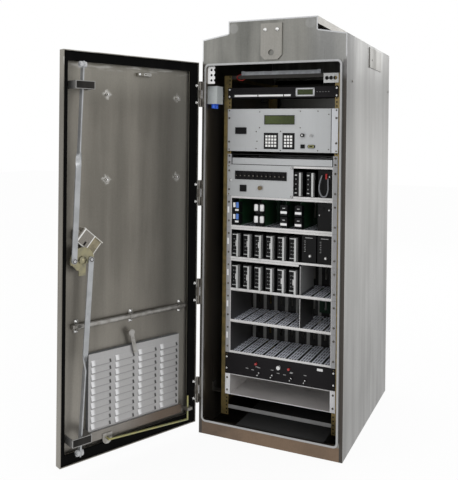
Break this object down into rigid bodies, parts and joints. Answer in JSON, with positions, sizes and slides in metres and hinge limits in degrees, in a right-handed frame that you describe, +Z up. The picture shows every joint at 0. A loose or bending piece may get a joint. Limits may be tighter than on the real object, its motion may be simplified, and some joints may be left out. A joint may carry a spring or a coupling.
{
  "type": "roadside utility cabinet",
  "caption": "Tall aluminium roadside cabinet with an equipment rack, front and rear doors, a turning three-point latch with rods, louvred filter plate and a vented roof hood.",
  "frame": {"origin": "on the foundation plane, at the centre of the anchor bolt rectangle", "axes": "+Z up along the cabinet's height, -Y out of the front opening, +X to the right as seen from the front"},
  "size_m": [0.9106, 1.4175, 1.6947],
  "materials": {
    "mill_aluminium": "mill-finish sheet with a vertical grain",
    "panel_aluminium": "satin panels and card files",
    "zinc_steel": "bright zinc-plated steel",
    "yellow_zinc": "yellow chromate plating",
    "black_rubber": "closed-cell sealing strip",
    "black_metal": "satin black",
    "black_plastic": "moulded black",
    "white_plastic": "moulded off-white",
    "grey_plastic": "moulded grey",
    "green_board": "coated circuit board",
    "lcd": "green display window",
    "red_lens": "red lens",
    "bright_metal": "bright nickel",
    "filter_pad": "pleated fibre pad"
  },
  "bodies": {
    "cabinet": {"housing_shell": "mill_aluminium", "roof_hood": "mill_aluminium", "lifting_plates": "mill_aluminium", "cover_plate": "mill_aluminium", "frame_hinges": "zinc_steel", "rack_cage": "yellow_zinc", "cage_brackets": "zinc_steel", "lamp_fixture": "white_plastic", "lamp_bracket": "panel_aluminium", "switch_plate": "white_plastic", "service_box": "grey_plastic", "display_panel": "black_metal", "lcd_windows": "lcd", "controller_case": "panel_aluminium", "controller_panel": "panel_aluminium", "controller_keys": "white_plastic", "panel_sockets": "black_plastic", "drawer_sleeve": "black_metal", "breaker_panel": "panel_aluminium", "breakers": "black_plastic", "upper_files": "panel_aluminium", "output_files": "panel_aluminium", "spare_files": "panel_aluminium", "backplanes": "green_board", "switch_modules": "black_metal", "switch_handles": "panel_aluminium", "relay_cards": "green_board", "relay_blocks": "black_plastic", "monitor_units": "black_metal", "power_panel": "black_metal", "panel_lamps": "red_lens", "fuse_holders": "bright_metal", "cable_tray": "panel_aluminium"},
    "front_door": {"door_pan": "mill_aluminium", "door_gasket": "black_rubber", "door_hinges": "zinc_steel", "louvre_plate": "mill_aluminium", "filter_trough": "mill_aluminium", "air_filter": "filter_pad", "filter_bar": "zinc_steel", "rod_guides": "mill_aluminium", "lock_case": "yellow_zinc", "stay_brackets": "zinc_steel"},
    "latch": {"latch_cam": "yellow_zinc", "latch_handle": "zinc_steel"},
    "upper_rod": {"upper_rod": "zinc_steel"},
    "lower_rod": {"lower_rod": "zinc_steel"},
    "upper_rollers": {"upper_rollers": "white_plastic"},
    "lower_rollers": {"lower_rollers": "white_plastic"},
    "filter_latch": {"filter_latch": "zinc_steel"},
    "stay_rod": {"stay_rod": "yellow_zinc"},
    "rear_door": {"rear_door_pan": "mill_aluminium", "rear_gasket": "black_rubber"},
    "rear_latch": {"rear_handle": "zinc_steel"},
    "drawer": {"drawer": "panel_aluminium"},
    "controller_toggle": {"controller_toggle": "bright_metal"},
    "power_toggle_1": {"toggle_1": "bright_metal"},
    "power_toggle_2": {"toggle_2": "bright_metal"},
    "power_toggle_3": {"toggle_3": "bright_metal"},
    "power_toggle_4": {"toggle_4": "bright_metal"}
  },
  "joints": [
    {"name": "front_door_hinge", "type": "hinge", "parent": "cabinet", "child": "front_door", "pos_m": [-0.311, -0.396, 0.79], "axis": [0, 0, 1], "range_deg": [-45, 114.6]},
    {"name": "latch_turn", "type": "hinge", "parent": "front_door", "child": "latch", "pos_m": [-0.53504, -0.88535, 0.7818], "axis": [-0.9092, 0.4163, 0], "range_deg": [0, 90]},
    {"name": "upper_rod_pin", "type": "hinge", "parent": "latch", "child": "upper_rod", "pos_m": [-0.52696, -0.92535, 0.7818], "axis": [-0.9092, 0.4163, 0], "range_deg": [-93, 0]},
    {"name": "lower_rod_pin", "type": "hinge", "parent": "latch", "child": "lower_rod", "pos_m": [-0.49948, -0.86534, 0.7818], "axis": [-0.9092, 0.4163, 0], "range_deg": [-93, 0]},
    {"name": "upper_roller_spin", "type": "hinge", "parent": "upper_rod", "child": "upper_rollers", "pos_m": [-0.51632, -0.90211, 1.47826], "axis": [-0.416, -0.9086, 0.0367], "continuous": true},
    {"name": "lower_roller_spin", "type": "hinge", "parent": "lower_rod", "child": "lower_rollers", "pos_m": [-0.51585, -0.90108, 0.09678], "axis": [0.4156, 0.9077, -0.0573], "continuous": true},
    {"name": "filter_latch_turn", "type": "hinge", "parent": "front_door", "child": "filter_latch", "pos_m": [-0.44338, -0.68514, 0.4758], "axis": [0.9092, -0.4163, 0], "range_deg": [0, 90]},
    {"name": "stay_swing", "type": "hinge", "parent": "front_door", "child": "stay_rod", "pos_m": [-0.47409, -0.78106, 0.1028], "axis": [0.9092, -0.4163, 0], "range_deg": [-9, 0]},
    {"name": "rear_door_hinge", "type": "hinge", "parent": "cabinet", "child": "rear_door", "pos_m": [-0.311, 0.396, 0.79], "axis": [0, 0, -1], "range_deg": [-120, 0]},
    {"name": "rear_latch_turn", "type": "hinge", "parent": "rear_door", "child": "rear_latch", "pos_m": [0.2272, 0.396, 0.7818], "axis": [0, -1, 0], "range_deg": [0, 90]},
    {"name": "drawer_slide", "type": "slide", "parent": "cabinet", "child": "drawer", "axis": [0, 1, 0], "range_m": [-0.22, 0]},
    {"name": "controller_toggle_flip", "type": "hinge", "parent": "cabinet", "child": "controller_toggle", "pos_m": [0.132, -0.2779, 1.23535], "axis": [1, 0, 0], "range_deg": [-24, 0]},
    {"name": "power_toggle_1_flip", "type": "hinge", "parent": "cabinet", "child": "power_toggle_1", "pos_m": [-0.086, -0.2779, 0.2429], "axis": [1, 0, 0], "range_deg": [-24, 0]},
    {"name": "power_toggle_2_flip", "type": "hinge", "parent": "cabinet", "child": "power_toggle_2", "pos_m": [-0.027, -0.2779, 0.2429], "axis": [1, 0, 0], "range_deg": [-24, 0]},
    {"name": "power_toggle_3_flip", "type": "hinge", "parent": "cabinet", "child": "power_toggle_3", "pos_m": [0.056, -0.2779, 0.2429], "axis": [1, 0, 0], "range_deg": [-24, 0]},
    {"name": "power_toggle_4_flip", "type": "hinge", "parent": "cabinet", "child": "power_toggle_4", "pos_m": [0.116, -0.2779, 0.2429], "axis": [1, 0, 0], "range_deg": [-24, 0]}
  ],
  "couplings": [
    {"joint": "upper_rod_pin", "follows": "latch_turn", "ratio": -1.0296},
    {"joint": "lower_rod_pin", "follows": "latch_turn", "ratio": -1.0301}
  ]
}
